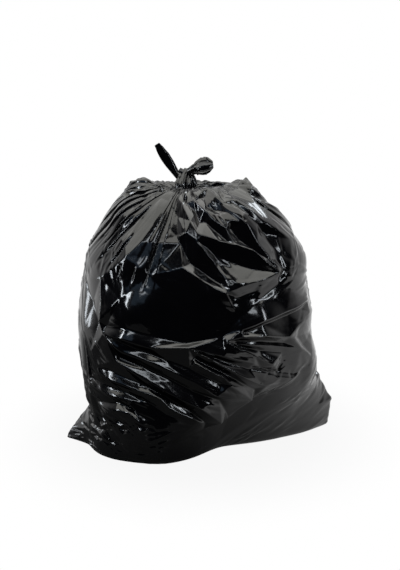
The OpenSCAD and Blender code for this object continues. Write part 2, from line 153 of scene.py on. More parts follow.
# Creases of the front, in millimetres as seen from the front: across from the middle, up
# from the floor, and how far the film stands out there. It lies flat between the creases.
front_creases = [
    [(-53, 598, -3), (-51, 561, -9), (-51, 521, -7), (-44, 505, -4)],
    [(-40, 584, 3), (-22, 547, 7), (-7, 525, 6), (2, 519, 9)],
    [(-31, 584, -2), (-9, 570, -7), (0, 547, -7)],
    [(-48, 517, 6), (-31, 525, 7), (-9, 509, 6)],
    [(4, 603, 7), (-15, 587, 3)],
    [(9, 596, -5), (18, 579, -7), (37, 570, -6)],
    [(11, 605, 7), (31, 592, 7), (45, 581, 5), (58, 561, 3), (63, 544, 6)],
    [(56, 599, 2), (87, 606, 8), (122, 575, 3)],
    [(71, 607, -5), (106, 604, -7), (122, 593, -3)],
    [(74, 582, 9), (96, 563, 9), (143, 534, 8)],
    [(78, 572, 1), (103, 549, 0), (122, 536, 0)],
    [(78, 563, 5), (88, 539, 4), (124, 499, 5), (151, 467, 4)],
    [(68, 534, -6), (93, 506, -7), (129, 478, -3)],
    [(27, 549, 5), (55, 530, 5), (70, 503, 6)],
    [(9, 568, 6), (36, 558, 5), (63, 544, 6)],
    [(13, 547, -4), (40, 526, -6), (64, 505, -3)],
    [(147, 519, -8), (170, 487, -9), (179, 457, -8)],
    [(202, 492, 4), (201, 435, 2)],
    [(189, 438, -5), (201, 429, 3), (224, 422, 3)],
    [(2, 519, 9), (35, 508, 10), (77, 497, 10), (113, 482, 10), (172, 431, 9)],
    [(-9, 509, 6), (38, 483, -5), (77, 464, -9), (128, 444, -6), (172, 431, 9)],
    [(-9, 509, 6), (31, 468, 6), (56, 431, 7), (64, 404, 10)],
    [(64, 404, 10), (90, 413, 10), (129, 420, 10), (172, 431, 9)],
    [(-44, 505, -4), (-20, 463, -7), (22, 439, -8), (50, 419, -4)],
    [(-37, 455, 6), (13, 424, 8), (55, 398, 8)],
    [(58, 398, 3), (90, 389, -3), (124, 399, -4)],
    [(88, 344, -6), (136, 378, -8), (177, 406, -5)],
    [(57, 295, 9), (88, 317, 3), (130, 331, 6), (187, 341, 8), (240, 351, 8)],
    [(96, 310, -3), (138, 323, -5), (204, 333, -6), (234, 336, -2)],
    [(57, 295, 9), (89, 301, 10), (136, 298, 10), (195, 283, 11)],
    [(195, 283, 11), (222, 307, 9), (248, 320, 7)],
    [(195, 283, 11), (225, 248, 9), (257, 212, 8)],
    [(222, 275, -1), (238, 250, -2)],
    [(79, 293, -3), (135, 286, -5), (191, 271, -3)],
    [(87, 285, 2), (139, 274, 1), (191, 260, 1)],
    [(88, 276, -4), (139, 261, -6), (191, 246, -5)],
    [(57, 295, 9), (89, 274, 8), (116, 255, 9), (159, 226, 8)],
    [(139, 247, 0), (175, 240, 3)],
    [(140, 220, -4), (183, 202, -6), (217, 188, -4)],
    [(140, 213, 3), (184, 189, 4), (215, 179, 3)],
    [(257, 212, 8), (239, 190, -4), (212, 161, -7), (183, 149, -8), (132, 136, -7), (69, 93, -8),
     (11, 79, -7), (-63, 60, -5)],
    [(-210, 320, -5), (-158, 323, -7), (-108, 310, -7), (-31, 292, -4), (53, 304, -5)],
    [(-205, 306, 4), (-159, 300, 7), (-109, 285, 7), (-26, 285, 9)],
    [(-190, 300, 0), (-131, 276, -5), (-78, 256, -5), (-22, 235, -4), (49, 196, -4)],
    [(-26, 285, 9), (48, 261, 9), (116, 236, 7)],
    [(-12, 279, 0), (49, 250, -2), (107, 224, -2)],
    [(-26, 285, 9), (11, 264, 8), (49, 238, 9), (147, 173, 8)],
    [(-13, 260, -3), (49, 224, -4), (131, 166, -3)],
    [(-13, 249, 6), (49, 213, 7), (67, 194, 8), (120, 139, 7)],
    [(-200, 295, 6), (-170, 274, 8), (-110, 253, 7), (-48, 224, 5), (-11, 205, 6), (35, 169, 7),
     (120, 134, 4)],
    [(-181, 257, -3), (-111, 230, -6), (-62, 208, -6), (-23, 187, -5), (44, 157, -4)],
    [(-179, 248, 9), (-111, 208, 8), (-40, 167, 9), (0, 143, 8), (46, 92, 7)],
    [(-201, 222, -3), (-133, 200, -5), (-71, 168, -6), (-33, 143, -6), (14, 98, -5)],
    [(-224, 214, 5), (-156, 193, 6), (-89, 170, 7), (-64, 144, 7), (-5, 112, 4)],
    [(-245, 194, -2), (-168, 178, -4), (-111, 155, -5), (-76, 131, -5)],
    [(-248, 181, 5), (-167, 163, 7), (-143, 139, 4)],
    [(-239, 139, -5), (-183, 151, -5), (-147, 135, -5)],
    [(-218, 113, 6), (-187, 136, 7), (-156, 134, 7), (-127, 110, 6), (-123, 73, 3)],
    [(-246, 124, 2), (-228, 105, -6), (-211, 77, -8), (-190, 53, -7), (-157, 31, -3)],
    [(-111, 130, -3), (-106, 97, -4), (-98, 60, -3)],
    [(-88, 594, -3), (-128, 549, 0), (-161, 492, 8), (-157, 470, 13)],
    [(-88, 594, -3), (-102, 540, 3), (-126, 502, 9), (-157, 470, 13)],
    [(-72, 590, -5), (-80, 545, -5), (-98, 505, 2)],
    [(-216, 422, 7), (-215, 377, 8), (-218, 331, 8), (-210, 307, 4), (-179, 248, 9)],
    [(-262, 404, -4), (-246, 363, -8), (-227, 325, -4)],
    [(-259, 297, 4), (-244, 258, 4), (-232, 225, 3)],
]

# Places of the front where the film lies on the load, across and up in millimetres
resting_places = [
    (-196, 473), (-110, 478), (-180, 520), (-236, 450), (-110, 439), (-171, 385),
    (-107, 388), (-55, 388), (0, 355), (-126, 347), (33, 387), (0, 333), (117, 80), (166, 38),
    (46, 35), (235, 123), (241, 32), (-252, 159), (-230, 25), (-89, 37), (-192, 97), (-168, 90),
    (258, 272), (243, 371), (204, 387), (180, 370),
]

# Main folds of the sides and the back: start and end as a bearing from the front and a
# share of the way up the film, then half the width and the height in metres
round_folds = [
    [-104, 0.62, -84, 0.42, 0.024, -0.010],
    [-108, 0.40, -76, 0.24, 0.024, 0.010],
    [-122, 0.30, -92, 0.16, 0.024, -0.010],
    [-92, 0.54, -128, 0.34, 0.024, 0.010],
    [90, 0.60, 104, 0.30, 0.026, 0.011],
    [84, 0.20, 122, 0.30, 0.024, -0.009],
    [118, 0.62, 96, 0.44, 0.024, -0.010],
    [112, 0.14, 140, 0.30, 0.024, 0.010],
    [124, 0.50, 172, 0.36, 0.026, 0.013],
    [132, 0.40, 168, 0.18, 0.024, -0.010],
    [146, 0.68, 188, 0.48, 0.024, 0.010],
    [176, 0.36, 226, 0.26, 0.024, -0.011],
    [192, 0.16, 238, 0.38, 0.026, 0.011],
    [200, 0.62, 242, 0.48, 0.024, -0.010],
    [156, 0.10, 206, 0.12, 0.022, 0.009],
    [184, 0.58, 196, 0.38, 0.024, 0.010],
]

# Lumps that the load presses out: bearing, share of the way up, radius and height
load_lumps = [
    [-28, 0.46, 0.110, 0.016],
    [-8, 0.10, 0.120, 0.008],
    [46, 0.44, 0.080, 0.010],
    [50, 0.22, 0.090, -0.008],
    [22, 0.60, 0.070, -0.013],
    [50, 0.74, 0.070, 0.011],
    [-60, 0.76, 0.080, 0.010],
    [-92, 0.14, 0.050, -0.014],
    [88, 0.58, 0.070, 0.008],
    [82, 0.85, 0.060, 0.014],
    [-104, 0.86, 0.060, 0.014],
    [-74, 0.84, 0.040, -0.010],
    [122, 0.34, 0.100, 0.011],
    [158, 0.66, 0.090, -0.008],
    [186, 0.50, 0.110, 0.014],
    [214, 0.24, 0.090, -0.008],
    [238, 0.56, 0.090, 0.011],
]


def on_film(x, z):
    """Bearing and share of a place on the front, given in millimetres as seen from there."""
    shares = np.linspace(0, 0.88, 900)
    bearings = np.linspace(-88, 88, 353)
    t = float(np.interp(z / 1000, section_at(shares)[:, 1] * shoulder_height, shares))
    radius = plan_radius(bearings, np.full(len(bearings), t))
    reach = axis_x(t) + radius * np.sin(np.radians(bearings))
    return float(np.interp(x / 1000, reach, bearings)), t


# The film is a net of columns round the sack and rows up it, closest at the front
panel_count = 4
front_crowding = 18
column_count = panel_count * 180
row_count = 530
even_bearing = np.arange(column_count) * 360 / column_count - 180
column_bearing = even_bearing - front_crowding * np.sin(np.radians(even_bearing))
row_share = np.linspace(0, 1, row_count + 1) ** 0.96
bearing, share = np.meshgrid(column_bearing, row_share)
crease_round = 0.0016
widest_flank = 1.5


def add_fold(lift, fold, middle, lean):
    """Adds one fold to the net: a long low pyramid with its ridge on the fold's line.
    Its top is at a share of its length, and lean makes one flank steeper."""
    start_bearing, start_share, end_bearing, end_share, width, height = fold
    low, high = sorted((start_share, end_share))
    margin = widest_flank * width / film_length
    rows = np.arange(*np.searchsorted(row_share, [low - margin, high + margin]))
    run_x = (end_bearing - start_bearing) * metres_per_degree
    run_y = (end_share - start_share) * film_length
    half = abs(end_bearing - start_bearing) / 2 + widest_flank * width / metres_per_degree
    centre = (start_bearing + end_bearing) / 2
    columns = np.nonzero(np.abs(turn_to(column_bearing - centre)) < half)[0]
    if not len(rows) or not len(columns):
        return
    window = np.ix_(rows, columns)
    x = (turn_to(bearing[window] - centre) + centre - start_bearing) * metres_per_degree
    y = (share[window] - start_share) * film_length
    length = math.hypot(run_x, run_y)
    along = (x * run_x + y * run_y) / length**2
    away = (x * run_y - y * run_x) / length
    flank = np.where(away > 0, width * (1 + lean), width * (1 - lean))
    away = np.hypot(away, crease_round) - crease_round
    roof = np.minimum(along / middle, (1 - along) / (1 - middle)) - away / flank
    lift[window] += height * np.clip(roof, 0, 1)


def add_drawn_fold(lift, spot_bearing, spot_share, way, sizes, tops, leans):
    """Adds a fold whose middle is at a place. The way is in degrees from straight up,
    and the sizes are the ranges of its length, half width and slope."""
    lengths, half_widths, slopes = sizes
    way = math.radians(way)
    length = draw.uniform(*lengths)
    half_width = draw.uniform(*half_widths)
    height = half_width * draw.uniform(*slopes) * draw.choice([-1, 1])
    half_x = math.sin(way) * length / 2 / metres_per_degree
    half_y = math.cos(way) * length / 2 / film_length
    fold = [
        spot_bearing - half_x, spot_share - half_y,
        spot_bearing + half_x, spot_share + half_y, half_width, height,
    ]
    add_fold(lift, fold, draw.uniform(*tops), draw.uniform(*leans))


draw = np.random.default_rng(7)
lift = np.zeros(bearing.shape)
for spot_bearing, spot_share, radius, height in load_lumps:
    across = turn_to(bearing - spot_bearing) * metres_per_degree
    up = (share - spot_share) * film_length
    lift += height * dome(np.hypot(across, up) / radius)
for fold in round_folds:
    add_fold(lift, fold, draw.uniform(0.3, 0.7), draw.uniform(-0.35, 0.35))

# The lifts fade out at the weld and towards the rim
settle = ease(share / 0.05)
lift *= settle * (1 - ease((share - 0.88) / 0.08))


def flat_facets():
    """Corners and triangles of the front's flat facets: bearing, share and lift."""
    corners, numbers, edges = [], {}, []
    for line in front_creases:
        for k, (x, z, out) in enumerate(line):
            if (x, z) not in numbers:
                numbers[x, z] = len(corners)
                corners.append([*on_film(x, z), out / 1000])
            if k:
                edges.append((numbers[line[k - 1][:2]], numbers[x, z]))
    corners += [[*on_film(x, z), 0.0] for x, z in resting_places]
    # The facets end on a border of corners that lie on the smooth body
    corners += [[b, t, 0.0] for b in (-104, 104) for t in np.linspace(0.02, 0.90, 10)]
    corners += [[b, t, 0.0] for t in (0.02, 0.90) for b in range(-91, 92, 13)]
    corners = np.array(corners)
    flat = [Vector((b * metres_per_degree, t * film_length)) for b, t, out in corners]
    result = delaunay_2d_cdt(flat, edges, [], 0, 1e-5)
    origin = [min(found) if found else 0 for found in result[3]]
    return corners[origin], np.array(result[2])


def add_facets(lift):
    """Adds the front's facets to the net, with their edges a little rounded."""
    corners, triangles = flat_facets()
    added = np.zeros(lift.shape)
    for one, two, three in corners[triangles]:
        low, high = np.minimum(np.minimum(one, two), three), np.maximum(np.maximum(one, two), three)
        rows = np.arange(*np.searchsorted(row_share, [low[1] - 1e-9, high[1] + 1e-9]))
        columns = np.arange(*np.searchsorted(column_bearing, [low[0] - 1e-9, high[0] + 1e-9]))
        window = np.ix_(rows, columns)
        b, t = bearing[window], share[window]
        size = (two[0] - one[0]) * (three[1] - one[1]) - (three[0] - one[0]) * (two[1] - one[1])
        if abs(size) < 1e-9:
            continue
        v = ((b - one[0]) * (three[1] - one[1]) - (three[0] - one[0]) * (t - one[1])) / size
        w = ((two[0] - one[0]) * (t - one[1]) - (b - one[0]) * (two[1] - one[1])) / size
        inside = (v >= -1e-6) & (w >= -1e-6) & (v + w <= 1 + 1e-6)
        height = one[2] + v * (two[2] - one[2]) + w * (three[2] - one[2])
        added[window] = np.where(inside, height, added[window])
    for k in range(edge_rounds):
        added[1:-1] = (added[:-2] + 2 * added[1:-1] + added[2:]) / 4
        added = (np.roll(added, 1, axis=1) + 2 * added + np.roll(added, -1, axis=1)) / 4
    lift += added


edge_rounds = 1
add_facets(lift)

# Gathers: the mouth is drawn together at the neck, so narrow valleys run from it down
# over the shoulders with flat strips of film between them, longest on the left front.
# The tie pulls from below the rim, so they turn towards the left front as they rise. On
# the right front, which has creases of its own, they start higher up.
gather_count = 36
gather_depth = 0.015
gather_sweep = 42
pull_start, pull_full = 0.60, 0.87
pull_bearing = -10
gather_reach = 0.3 * body_width
gather_run_in = 0.12
gather_crowding = 12
golden_step = 0.61803
fan_middle, fan_half = -62, 80
facet_middle, facet_half = 42, 48
strip_edges = 0.11, 0.22


def spread(k):
    """A share from 0 to 1 for each number, even over many of them but in no clear order."""
    return k * golden_step % 1


def valley_bearing(k):
    """Bearing of a valley: the gaps are uneven, and narrowest at the front."""
    even = 360 * (k + 0.4 * (spread(3 * k + 1) - 0.5)) / gather_count - 180
    return even - gather_crowding * math.sin(math.radians(even))


gather_lines = []
for k in range(gather_count):
    valley, following = valley_bearing(k), valley_bearing(k + 1)
    drawn = float(dome(abs(turn_to(valley - fan_middle)) / fan_half))
    chance = spread(3 * k + 2)
    low = (0.60 + 0.24 * chance) * (1 - drawn) + (0.46 + 0.18 * chance) * drawn
    low = 0.80 + 0.08 * chance if abs(valley - facet_middle) < facet_half else low
    depth = 0.10 + 0.60 * spread(5 * k + 2) ** 1.5 + 0.20 * drawn
    wander = draw.uniform(-4, 4)
    strip = 0.25 * spread(9 * k + 1)
    gap = following - valley
    gather_lines.append([valley, -depth, low, wander])
    for side, way in ((valley, 1), (following, -1)):
        place = side + way * gap * draw.uniform(*strip_edges)
        gather_lines.append([place, strip + draw.uniform(-0.15, 0.15), low, wander])
gather_lines = np.array(gather_lines)
gather_lift = np.zeros(bearing.shape)
for row, t in enumerate(row_share):
    if t < gather_lines[:, 2].min():
        continue
    turned_by = gather_sweep * np.clip((t - pull_start) / (pull_full - pull_start), 0, 1)
    turned_by *= 1 - 0.75 * ease((t - 0.90) / 0.10)
    places = gather_lines[:, 0] + gather_lines[:, 3] * (1 - t) ** 1.5
    turn = np.radians(places - pull_bearing)
    closeness = np.minimum(1 - math.radians(turned_by) * np.cos(turn), 1)
    places = places - turned_by * np.sin(turn)
    reach = np.minimum(plan_radius(places, np.full(len(places), t)) / gather_reach, 1)
    heights = gather_depth * gather_lines[:, 1] * ease((t - gather_lines[:, 2]) / gather_run_in)
    order = np.argsort(places)
    heights = (heights * reach * closeness)[order]
    gather_lift[row] = np.interp(column_bearing, places[order], heights, period=360)

# Flats: a broad leaf of the left front, one on the right shoulder and one at the left side
# are pulled flat by the tie. Each row holds the two ends in millimetres as seen from the
# front, across and up, and how far the flat reaches from the line between them.
film_scale = np.array([metres_per_degree, film_length])
flat_runs = [
    (-82, 592, -142, 480, 0.050), (84, 598, 138, 556, 0.034), (-240, 400, -242, 325, 0.052),
]
flat_calm = np.ones(bearing.shape)
for start_x, start_z, end_x, end_z, reach in flat_runs:
    start = np.array(on_film(start_x, start_z)) * film_scale
    run = np.array(on_film(end_x, end_z)) * film_scale - start
    across, up = bearing * metres_per_degree - start[0], share * film_length - start[1]
    along = np.clip((across * run[0] + up * run[1]) / np.sum(run**2), 0, 1)
    away = np.hypot(across - along * run[0], up - along * run[1])
    flat_calm *= 1 - 0.95 * ease((reach - away) / 0.018)
gather_lift *= flat_calm

# Small creases: long fine ridges and valleys in the slack film, which run along the main
# creases and gathers near them. Where the load stretches the film it stays smooth: each
# taut place is a bearing, a share and a radius.
taut_places = [
    [-30, 0.49, 0.120], [4, 0.50, 0.100], [42, 0.13, 0.130], [66, 0.14, 0.110],
    [52, 0.46, 0.080], [-11, 0.67, 0.060],
]
slack = 1.35 - 1.00 * dome(np.abs(turn_to(bearing)) / 110)
for spot_bearing, spot_share, radius in taut_places:
    across = turn_to(bearing - spot_bearing) * metres_per_degree
    up = (share - spot_share) * film_length
    slack *= 1 - 0.95 * dome(np.hypot(across, up) / radius / 1.2)
run_starts = []
run_ends = []
for line in front_creases:
    corners = [np.array(on_film(x, z)) * film_scale for x, z, out in line]
    run_starts += corners[:-1]
    run_ends += corners[1:]
run_starts, run_ends = np.array(run_starts), np.array(run_ends)


def pull_direction(spot_bearing, spot_share):
    """Way that creases run at a place, in degrees from straight up, positive rightwards."""
    if spot_share > 0.64:
        turn_rate = gather_sweep / (pull_full - pull_start) * min(1, (0.90 - spot_share) / 0.05)
        turn = math.radians(spot_bearing - pull_bearing)
        sideways = -turn_rate * math.sin(turn) * metres_per_degree
        return math.degrees(math.atan2(sideways, film_length)) + draw.normal(0, 8)
    if abs(spot_bearing) < 95:
        place = np.array([spot_bearing, spot_share]) * film_scale
        run = run_ends - run_starts
        along = np.sum((place - run_starts) * run, axis=1) / np.sum(run * run, axis=1)
        near = run_starts + np.clip(along, 0, 1)[:, None] * run
        x, y = run[np.argmin(np.linalg.norm(place - near, axis=1))]
        return math.degrees(math.atan2(x, y)) + draw.normal(0, 9)
    return draw.normal(18, 34)


small_crease_count = 1500
small_crease_sizes = (0.05, 0.18), (0.003, 0.009), (0.08, 0.26)
small_lift = np.zeros(bearing.shape)
for k in range(small_crease_count):
    spot_bearing = draw.uniform(-180, 180)
    spot_bearing -= front_crowding * math.sin(math.radians(spot_bearing))
    spot_share = draw.uniform(0.03, 0.93)
    way = pull_direction(spot_bearing, spot_share)
    add_drawn_fold(
        small_lift, spot_bearing, spot_share, way, small_crease_sizes, (0.15, 0.85), (-0.4, 0.4)
    )
small_lift *= flat_calm * slack * settle * (1 - ease((share - 0.86) / 0.10))

# Collar: short sharp folds where the film is crushed in between the rim and the knot
collar_fold_count = 90
collar_sizes = (0.04, 0.10), (0.006, 0.014), (0.25, 0.55)
sharp_tops, sharp_leans = (0.2, 0.8), (-0.5, 0.5)
collar_lift = np.zeros(bearing.shape)
for k in range(collar_fold_count):
    spot_bearing, spot_share = draw.uniform(-180, 180), draw.uniform(0.82, 0.95)
    way = draw.normal(0, 30)
    add_drawn_fold(
        collar_lift, spot_bearing, spot_share, way, collar_sizes, sharp_tops, sharp_leans
    )
collar_lift *= flat_calm * ease((share - 0.78) / 0.05) * (1 - ease((share - 0.93) / 0.06))

# Puckers: short sharp folds low on the sack. In turn they are nearly level where the left
# front sags onto the floor, slanted up towards the right corner, which is drawn out, steep
# at the left corner, and slanted down to the right over the lower left. Each row holds the
# count, the bearings, the shares, the way in degrees from straight up and its spread.
pucker_fields = [
    (60, -78, -4, 0.03, 0.15, 82, 12),
    (60, 52, 106, 0.04, 0.30, 38, 10),
    (8, -104, -72, 0.04, 0.16, 30, 20),
    (55, -68, -12, 0.13, 0.29, 115, 5),
]
pucker_sizes = (0.03, 0.10), (0.003, 0.007), (0.25, 0.50)
pucker_lift = np.zeros(bearing.shape)
for count, left_edge, right_edge, low_edge, high_edge, mean_way, way_spread in pucker_fields:
    for k in range(count):
        spot_bearing = draw.uniform(left_edge, right_edge)
        spot_share = draw.uniform(low_edge, high_edge)
        way = draw.normal(mean_way, way_spread)
        add_drawn_fold(
            pucker_lift, spot_bearing, spot_share, way, pucker_sizes, sharp_tops, sharp_leans
        )
pucker_lift *= ease(share / 0.03)

# The surface: each point stands off the smooth body at a right angle to its slope
neck_twist = 14
twist = neck_twist * ease((share - 0.8) / 0.2)
turned = bearing + twist
share_step = 0.004
share_low = np.clip(share - share_step, 0, 1)
share_high = np.clip(share + share_step, 0, 1)
rise = (section_at(share_high)[..., 1] - section_at(share_low)[..., 1]) * shoulder_height
out = plan_radius(turned, share_high) - plan_radius(turned, share_low)
slope = np.maximum(np.hypot(rise, out), 1e-6)
whole_lift = lift + small_lift + gather_lift * settle + collar_lift + pucker_lift
film_radius = np.maximum(
    plan_radius(turned, share) + whole_lift * rise / slope, 0.55 * neck_radius
)
film_height = section_at(share)[..., 1] * shoulder_height - whole_lift * out / slope
film = np.stack(
    [
        axis_x(share) + film_radius * np.sin(np.radians(turned)),
        -film_radius * np.cos(np.radians(turned)),
        film_height,
    ],
    axis=-1,
)


def net_triangles(points):
    """Triangles of a net of rows of points that close round, each cell split on its
    shorter diagonal."""
    rows, columns = points.shape[:2]
    index = np.arange(rows * columns).reshape(rows, columns)
    a = index[:-1]
    b = np.roll(index, -1, axis=1)[:-1]
    c = np.roll(index, -1, axis=1)[1:]
    d = index[1:]
    flat = points.reshape(-1, 3)
    rising = np.linalg.norm(flat[a] - flat[c], axis=-1) < np.linalg.norm(
        flat[b] - flat[d], axis=-1
    )
    rising = rising[..., None]
    one = np.where(rising, np.stack([a, b, c], -1), np.stack([a, b, d], -1))
    two = np.where(rising, np.stack([a, c, d], -1), np.stack([b, c, d], -1))
    return np.stack([one, two], axis=2)


def facing(points, triangles):
    """The way each triangle faces, and its area."""
    corner = points[triangles]
    cross = np.cross(corner[:, 1] - corner[:, 0], corner[:, 2] - corner[:, 0])
    size = np.linalg.norm(cross, axis=1, keepdims=True)
    return cross / np.maximum(size, 1e-15), size[:, 0] / 2


def sharpen(points, triangles, held, normal_rounds, point_rounds, likeness):
    """Flattens the film between its folds, as film that can't stretch does: the ways
    the triangles face are averaged with like neighbours, and the points that aren't held
    follow."""
    count = len(points)
    edges = np.concatenate([triangles[:, [0, 1]], triangles[:, [1, 2]], triangles[:, [2, 0]]])
    edges.sort(axis=1)
    owner = np.tile(np.arange(len(triangles)), 3)
    key = edges[:, 0].astype(np.int64) * count + edges[:, 1]
    order = np.argsort(key, kind="stable")
    key, owner = key[order], owner[order]
    pair = np.nonzero(key[1:] == key[:-1])[0]
    left, right = owner[pair], owner[pair + 1]
    points = points.copy()
    normal, area = facing(points, triangles)
    for k in range(normal_rounds):
        apart = np.sum((normal[left] - normal[right]) ** 2, axis=1)
        weight = np.exp(-apart / (2 * likeness**2))
        total = normal * area[:, None]
        for axis in range(3):
            total[:, axis] += np.bincount(
                left, weight * area[right] * normal[right, axis], len(triangles)
            )
            total[:, axis] += np.bincount(
                right, weight * area[left] * normal[left, axis], len(triangles)
            )
        normal = total / np.maximum(np.linalg.norm(total, axis=1, keepdims=True), 1e-15)
    corner_count = np.maximum(np.bincount(triangles.ravel(), minlength=count), 1)
    for k in range(point_rounds):
        corner = points[triangles]
        centre = corner.mean(axis=1)
        move = np.zeros((count, 3))
        for n in range(3):
            reach = np.sum(normal * (centre - corner[:, n]), axis=1)
            for axis in range(3):
                move[:, axis] += np.bincount(
                    triangles[:, n], reach * normal[:, axis], count
                )
        points += move / corner_count[:, None] * (1 - held)[:, None]
    return points


# The film is held at the neck and at the weld
net = net_triangles(film)
held = (ease((share - 0.90) / 0.08) + (1 - ease(share / 0.02))).clip(0, 1).ravel()
film_points = sharpen(
    film.reshape(-1, 3), net.reshape(-1, 3), held,
    normal_rounds=5, point_rounds=6, likeness=0.22,
)
film_points[:, 2] = np.maximum(film_points[:, 2], 0.0)
film_points[:column_count, 2] = 0.0

# The welded bottom lies flat on the floor, and the neck closes inside the knot
knot_middle = np.array([axis_x(1.0), 0.0, 0.615])
first_ring, last_ring = film_points[:column_count], film_points[-column_count:]
bottom_middle = np.array([axis_x(0.0), 0.0, 0.0])
bottom_rings = [bottom_middle + (first_ring - bottom_middle) * s for s in (0.02, 0.4, 0.8)]
neck_rings = []
for s in (0.3, 0.6, 1.0):
    ring = last_ring.copy()
    ring[:, :2] = knot_middle[:2] + (last_ring[:, :2] - knot_middle[:2]) * (1 - 0.98 * s)
    ring[:, 2] = last_ring[:, 2] + (knot_middle[2] - last_ring[:, 2]) * min(1, s * 1.5)
    neck_rings.append(ring)
rings = np.concatenate([np.concatenate(bottom_rings), film_points, np.concatenate(neck_rings)])
rings = rings.reshape(-1, column_count, 3)


def point_normals(points, triangles):
    """The way the surface faces at each point."""
    normal, area = facing(points, triangles)
    total = np.zeros((len(points), 3))
    for n in range(3):
        for axis in range(3):
            total[:, axis] += np.bincount(
                triangles[:, n], normal[:, axis] * area, len(points)
            )
    return total / np.maximum(np.linalg.norm(total, axis=1, keepdims=True), 1e-15)


def make_piece(name, points, triangles, normals, material):
    """A mesh object from points and triangles, which keeps only the points it uses."""
    used, compact = np.unique(triangles, return_inverse=True)
    points, normals = points[used], normals[used]
    triangles = compact.reshape(-1, 3)
    mesh = bpy.data.meshes.new(name)
    mesh.vertices.add(len(points))
    mesh.vertices.foreach_set("co", points.astype(np.float32).ravel())
    mesh.loops.add(len(triangles) * 3)
    mesh.loops.foreach_set("vertex_index", triangles.astype(np.int32).ravel())
    mesh.polygons.add(len(triangles))
    starts = np.arange(0, len(triangles) * 3, 3, dtype=np.int32)
    mesh.polygons.foreach_set("loop_start", starts)
    mesh.update(calc_edges=True)
    mesh.polygons.foreach_set("use_smooth", np.ones(len(triangles), dtype=bool))
    mesh.normals_split_custom_set_from_vertices(normals.tolist())
    mesh.materials.append(material)
    piece = bpy.data.objects.new(name, mesh)
    bpy.context.scene.collection.objects.link(piece)
    return piece


def film_surface_group():
    """Fine marks of thin film, for every piece: crinkles, soft waves and a faint haze."""
    group = bpy.data.node_groups.new("Film marks", "ShaderNodeTree")
    for name, value in (("Crinkle size", 90.0), ("Haze", 0.5)):
        socket = group.interface.new_socket(name, in_out="INPUT", socket_type="NodeSocketFloat")
        socket.default_value = value
    group.interface.new_socket("Height", in_out="OUTPUT", socket_type="NodeSocketFloat")
    group.interface.new_socket("Roughness", in_out="OUTPUT", socket_type="NodeSocketFloat")
    group.interface.new_socket("Colour", in_out="OUTPUT", socket_type="NodeSocketColor")
    nodes, links = group.nodes, group.links
    given = nodes.new("NodeGroupInput")
    result = nodes.new("NodeGroupOutput")
    place = nodes.new("ShaderNodeTexCoord")
    crinkle = nodes.new("ShaderNodeTexNoise")
    crinkle.noise_type = "RIDGED_MULTIFRACTAL"
    crinkle.inputs["Detail"].default_value = 3.0
    links.new(place.outputs["Object"], crinkle.inputs["Vector"])
    links.new(given.outputs["Crinkle size"], crinkle.inputs["Scale"])
    soft = nodes.new("ShaderNodeTexNoise")
    soft.inputs["Scale"].default_value = 22.0
    soft.inputs["Detail"].default_value = 4.0
    links.new(place.outputs["Object"], soft.inputs["Vector"])
    height = nodes.new("ShaderNodeMath")
    height.operation = "MULTIPLY_ADD"
    height.inputs[1].default_value = 0.35
    links.new(crinkle.outputs["Fac"], height.inputs[0])
    links.new(soft.outputs["Fac"], height.inputs[2])
    links.new(height.outputs[0], result.inputs["Height"])
    rough = nodes.new("ShaderNodeMapRange")
    rough.inputs["To Min"].default_value = 0.05
    rough.inputs["To Max"].default_value = 0.15
    links.new(soft.outputs["Fac"], rough.inputs["Value"])
    hazed = nodes.new("ShaderNodeMath")
    hazed.operation = "MULTIPLY_ADD"
    hazed.inputs[1].default_value = 0.06
    links.new(given.outputs["Haze"], hazed.inputs[0])
    links.new(rough.outputs["Result"], hazed.inputs[2])
    links.new(hazed.outputs[0], result.inputs["Roughness"])
    tone = nodes.new("ShaderNodeMix")
    tone.data_type = "RGBA"
    tone.inputs["A"].default_value = (0.0006, 0.0006, 0.0012, 1)
    tone.inputs["B"].default_value = (0.0016, 0.0016, 0.0022, 1)
    links.new(soft.outputs["Fac"], tone.inputs["Factor"])
    links.new(tone.outputs["Result"], result.inputs["Colour"])
    return group


film_marks = film_surface_group()


def film_material(name, crinkle_size, haze, bump):
    """Glossy black film, with the fine marks at a scale and strength of its own."""
    material = bpy.data.materials.new(name)
    material.use_nodes = True
    nodes, links = material.node_tree.nodes, material.node_tree.links
    shader = nodes["Principled BSDF"]
    shader.inputs["IOR"].default_value = 1.5
    marks = nodes.new("ShaderNodeGroup")
    marks.node_tree = film_marks
    marks.inputs["Crinkle size"].default_value = crinkle_size
    marks.inputs["Haze"].default_value = haze
    links.new(marks.outputs["Colour"], shader.inputs["Base Color"])
    links.new(marks.outputs["Roughness"], shader.inputs["Roughness"])
    relief = nodes.new("ShaderNodeBump")
    relief.inputs["Strength"].default_value = bump
    relief.inputs["Distance"].default_value = 0.0012
    links.new(marks.outputs["Height"], relief.inputs["Height"])
    links.new(relief.outputs["Normal"], shader.inputs["Normal"])
    return material


sack_film = film_material("Sack film", crinkle_size=70.0, haze=0.3, bump=0.35)
sack_net = net_triangles(rings)
sack_points = rings.reshape(-1, 3)
sack_normals = point_normals(sack_points, sack_net.reshape(-1, 3))
panel_width = column_count // panel_count
for k in range(panel_count):
    columns = slice(k * panel_width, (k + 1) * panel_width)
    triangles = sack_net[:, columns].reshape(-1, 3)
    panel = make_piece(f"film_panel_{k + 1}", sack_points, triangles, sack_normals, sack_film)
    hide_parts("tied_sack")
    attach(panel, "root")

# The half knot
# The two halves of the mouth are bunched, crossed one over the other and pulled tight.
# One bunch passes in front of the other, and its pleats run up over the knot. A smaller
# one runs out to the right below them.


path_steps = 24
bunch_sides = 160
bunch_folds = 26
bunch_fold_height = 0.9
bunch_fold_turn = 0.5
knot_rings = 60


